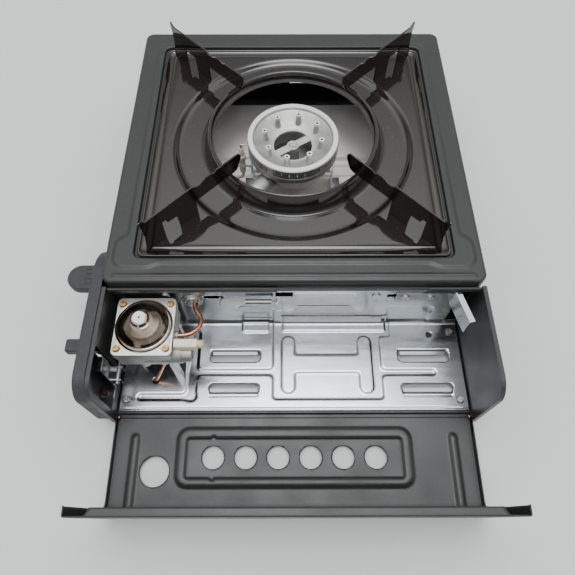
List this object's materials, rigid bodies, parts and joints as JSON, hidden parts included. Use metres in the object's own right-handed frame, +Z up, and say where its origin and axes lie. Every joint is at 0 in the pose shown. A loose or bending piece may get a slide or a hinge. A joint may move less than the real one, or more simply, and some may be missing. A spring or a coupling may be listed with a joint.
{
  "type": "camping stove",
  "caption": "Portable gas stove with a pressed steel body, lift-out drip tray with pan supports, cast burner, gas governor and a side cartridge bay with a hinged cover.",
  "frame": {"origin": "on the surface that the stove stands on, under the burner's axis", "axes": "+Z up; +X to the right of a cook who faces the cartridge compartment; -Y from the burner towards that cook and the compartment"},
  "size_m": [0.307, 0.4139, 0.1075],
  "materials": {
    "black_paint": "satin",
    "brown_enamel": "vitreous enamel, glossy",
    "galvanised_steel": "bright, streaked",
    "zinc_fastener": "bright",
    "spring_steel": "satin",
    "cast_aluminium": "fine sand-cast",
    "polished_steel": "polished",
    "brass_fastener": "bright",
    "copper": "drawn copper",
    "dark_plastic": "fine texture",
    "cream_plastic": "moulded",
    "clear_plastic": "yellowed, half clear",
    "heat_plate": "satin, heat tinted",
    "bronze_fastener": "dull bronze",
    "ceramic": "glazed",
    "rubber": "matt",
    "wire_insulation": "smooth"
  },
  "bodies": {
    "root": {"base_pan": "black_paint", "rubber_feet": "rubber", "top_plate": "black_paint", "front_rail": "black_paint", "left_end_plate": "black_paint", "right_end_plate": "black_paint", "hinge_pins": "bronze_fastener", "cartridge_tray": "galvanised_steel", "floor_screws": "zinc_fastener", "heat_shield": "heat_plate", "burner_bowl": "cast_aluminium", "burner_cap": "cast_aluminium", "burner_screw": "zinc_fastener", "mixing_tube": "cast_aluminium", "burner_bracket": "galvanised_steel", "electrode_ceramic": "ceramic", "electrode_pin": "spring_steel", "electrode_bracket": "galvanised_steel", "ignition_wire": "wire_insulation", "piezo_igniter": "dark_plastic", "igniter_clip": "galvanised_steel", "valve_body": "cast_aluminium", "valve_bracket": "galvanised_steel", "gas_jet": "brass_fastener", "governor_body": "cast_aluminium", "governor_cover": "polished_steel", "governor_diaphragm": "rubber", "governor_spring": "spring_steel", "governor_screws": "brass_fastener", "governor_standoffs": "galvanised_steel", "inlet_port": "cast_aluminium", "port_seal": "rubber", "locating_tab": "cream_plastic", "tab_end": "clear_plastic", "relief_tube": "copper", "copper_tube": "copper", "tube_grommet": "zinc_fastener", "control_panel": "dark_plastic", "lever_bracket": "galvanised_steel", "bracket_screw": "bronze_fastener", "slide_guides": "zinc_fastener", "return_spring": "spring_steel", "spring_hook": "zinc_fastener"},
    "knob": {"valve_stem": "spring_steel", "control_knob": "dark_plastic"},
    "igniter_plunger": {"igniter_plunger": "dark_plastic"},
    "lock_lever": {"lever_shaft": "spring_steel", "lock_lever": "spring_steel", "lever_cap": "dark_plastic", "crank_arm": "spring_steel"},
    "slide": {"slide_bar": "galvanised_steel", "pusher_plate": "galvanised_steel", "slide_rivets": "zinc_fastener"},
    "cover": {"cartridge_cover": "black_paint"},
    "drip_tray": {"drip_tray": "brown_enamel", "pan_support_right_back": "brown_enamel", "pan_support_left_back": "brown_enamel", "pan_support_left_front": "brown_enamel", "pan_support_right_front": "brown_enamel"}
  },
  "joints": [
    {"name": "knob_turn", "type": "hinge", "parent": "root", "child": "knob", "pos_m": [-0.112, -0.112, 0.045], "axis": [-1, 0, 0], "range_deg": [0, 100]},
    {"name": "igniter_push", "type": "slide", "parent": "root", "child": "igniter_plunger", "axis": [0, 1, 0], "range_m": [0, 0.005]},
    {"name": "lever_press", "type": "hinge", "parent": "root", "child": "lock_lever", "pos_m": [-0.1275, -0.16, 0.031], "axis": [0, -1, 0], "range_deg": [0, 25]},
    {"name": "slide_travel", "type": "slide", "parent": "root", "child": "slide", "axis": [-1, 0, 0], "range_m": [0, 0.01014], "deforming": ["return_spring"]},
    {"name": "cover_close", "type": "hinge", "parent": "root", "child": "cover", "pos_m": [0, -0.2085, 0.0075], "axis": [-1, 0, 0], "range_deg": [0, 93.4]},
    {"name": "tray_lift", "type": "slide", "parent": "root", "child": "drip_tray", "axis": [0, 0, 1], "range_m": [0, 0.06]}
  ],
  "couplings": [
    {"joint": "igniter_push", "follows": "knob_turn", "m_per_rad": 0.0028647},
    {"joint": "slide_travel", "follows": "lever_press", "m_per_rad": 0.023239}
  ]
}
